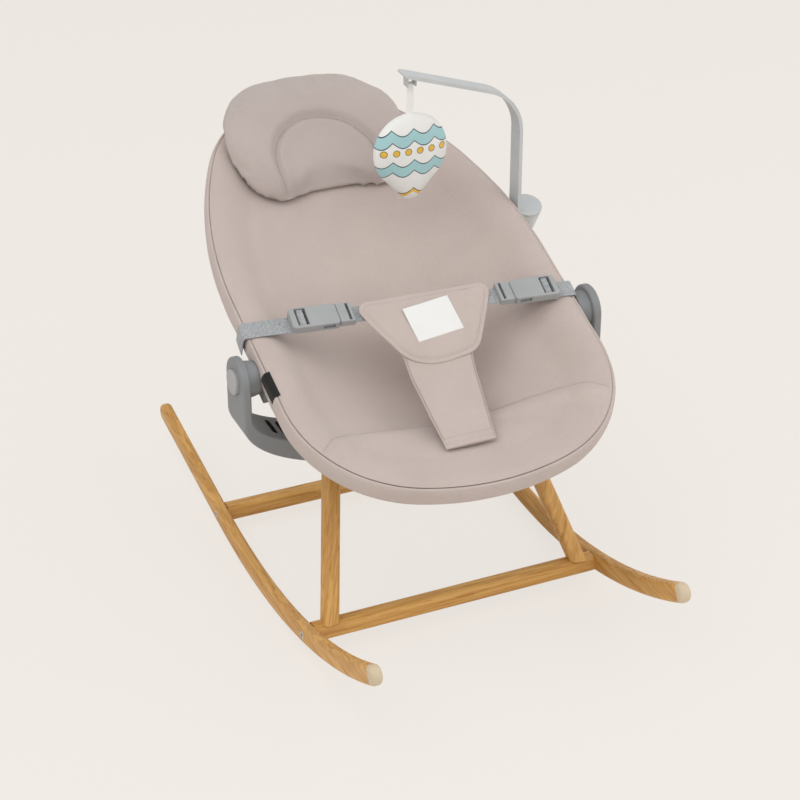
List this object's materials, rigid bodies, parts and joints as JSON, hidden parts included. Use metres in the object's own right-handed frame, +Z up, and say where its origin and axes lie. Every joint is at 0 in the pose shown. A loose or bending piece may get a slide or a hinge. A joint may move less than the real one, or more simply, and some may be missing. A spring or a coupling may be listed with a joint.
{
  "type": "bouncer seat",
  "caption": "Low infant rocker seat: padded egg-shaped seat pivoting in a plastic yoke on a wooden rocker base, with waist harness, head pillow and swinging toy bar.",
  "frame": {"origin": "on the floor under the middle of the rocker runners, on the plane of symmetry of the base", "axes": "+Y from the foot end towards the head end, +Z up, +X to the right side of a child lying in the seat seen from above with the head up"},
  "size_m": [0.498, 0.7676, 0.6206],
  "materials": {
    "oak": "satin lacquered oak",
    "cap_grey": "light beige grey cap",
    "steel": "zinc plated",
    "yoke_grey": "fine moulded grain",
    "hub_plastic": "moulded",
    "button_grey": "moulded",
    "tube_paint": "powder coat",
    "taupe_fabric": "soft jersey over wadding",
    "pillow_fabric": "soft jersey over wadding",
    "under_fabric": "plain lining",
    "label_white": "woven satin",
    "tag_black": "woven",
    "webbing": "grey melange webbing",
    "buckle_grey": "moulded",
    "toy_bar_grey": "moulded",
    "holder_grey": "moulded",
    "ribbon_white": "satin ribbon",
    "plush": "short plush"
  },
  "bodies": {
    "base": {"barrel_nuts": "steel", "front_bar": "oak", "leg_dowels": "oak", "leg_left": "oak", "leg_right": "oak", "leg_screws": "steel", "leg_stub_left": "oak", "leg_stub_right": "oak", "lock_ring_left": "hub_plastic", "lock_ring_right": "hub_plastic", "rear_bar": "oak", "runner_bolts": "steel", "runner_cap_left": "cap_grey", "runner_cap_right": "cap_grey", "runner_left": "oak", "runner_right": "oak", "yoke_liner": "yoke_grey", "yoke_screws": "steel", "yoke_shell": "yoke_grey"},
    "toy_bar": {"toy_bar": "toy_bar_grey", "turret_screw": "steel", "toy_pin": "steel"},
    "toy": {"toy_ribbon": "ribbon_white", "toy_plush": "plush"},
    "button_left": {"button_left": "button_grey", "lock_disc_left": "hub_plastic"},
    "buckle_left": {"buckle_female_left": "buckle_grey", "strap_loop_left": "webbing"},
    "button_right": {"button_right": "button_grey", "lock_disc_right": "hub_plastic"},
    "buckle_right": {"buckle_female_right": "buckle_grey", "strap_loop_right": "webbing"},
    "seat": {"back_tube": "tube_paint", "buckle_male_left": "buckle_grey", "buckle_male_right": "buckle_grey", "button_spring_left": "steel", "button_spring_right": "steel", "crotch_strap": "taupe_fabric", "flap_label": "label_white", "head_pillow": "pillow_fabric", "leg_rest_pad": "taupe_fabric", "leg_tube": "tube_paint", "pivot_bracket_left": "hub_plastic", "pivot_bracket_right": "hub_plastic", "pivot_clip_left": "steel", "pivot_clip_right": "steel", "seat_pad": "taupe_fabric", "side_band": "taupe_fabric", "side_tag": "tag_black", "strap_left": "webbing", "strap_right": "webbing", "tab_left": "webbing", "tab_right": "webbing", "toy_holder": "holder_grey", "tube_rivets": "steel", "under_panel": "under_fabric", "waist_flap": "taupe_fabric"}
  },
  "joints": [
    {"name": "seat_recline", "type": "hinge", "parent": "base", "child": "seat", "pos_m": [0, -0.04, 0.336], "axis": [1, 0, 0], "range_deg": [-8, 12]},
    {"name": "button_left_press", "type": "slide", "parent": "seat", "child": "button_left", "axis": [1, 0, 0], "range_m": [0, 0.0044], "stiffness_N_per_m": 800, "springref_m": -0.004, "deforming": ["button_spring_left"]},
    {"name": "buckle_left_pull", "type": "slide", "parent": "seat", "child": "buckle_left", "axis": [-0.9961, 0.0824, 0.03], "range_m": [0, 0.022]},
    {"name": "button_right_press", "type": "slide", "parent": "seat", "child": "button_right", "axis": [-1, 0, 0], "range_m": [0, 0.0044], "stiffness_N_per_m": 800, "springref_m": -0.004, "deforming": ["button_spring_right"]},
    {"name": "buckle_right_pull", "type": "slide", "parent": "seat", "child": "buckle_right", "axis": [0.9961, -0.0824, -0.03], "range_m": [0, 0.022]},
    {"name": "toy_bar_swing", "type": "hinge", "parent": "seat", "child": "toy_bar", "pos_m": [0.233, 0.13246, 0.40249], "axis": [0, -0.342, 0.9397], "range_deg": [0, 110]},
    {"name": "toy_swing", "type": "hinge", "parent": "toy_bar", "child": "toy", "pos_m": [0.063, 0.12736, 0.60472], "axis": [1, 0, 0], "range_deg": [-35, 10]}
  ]
}
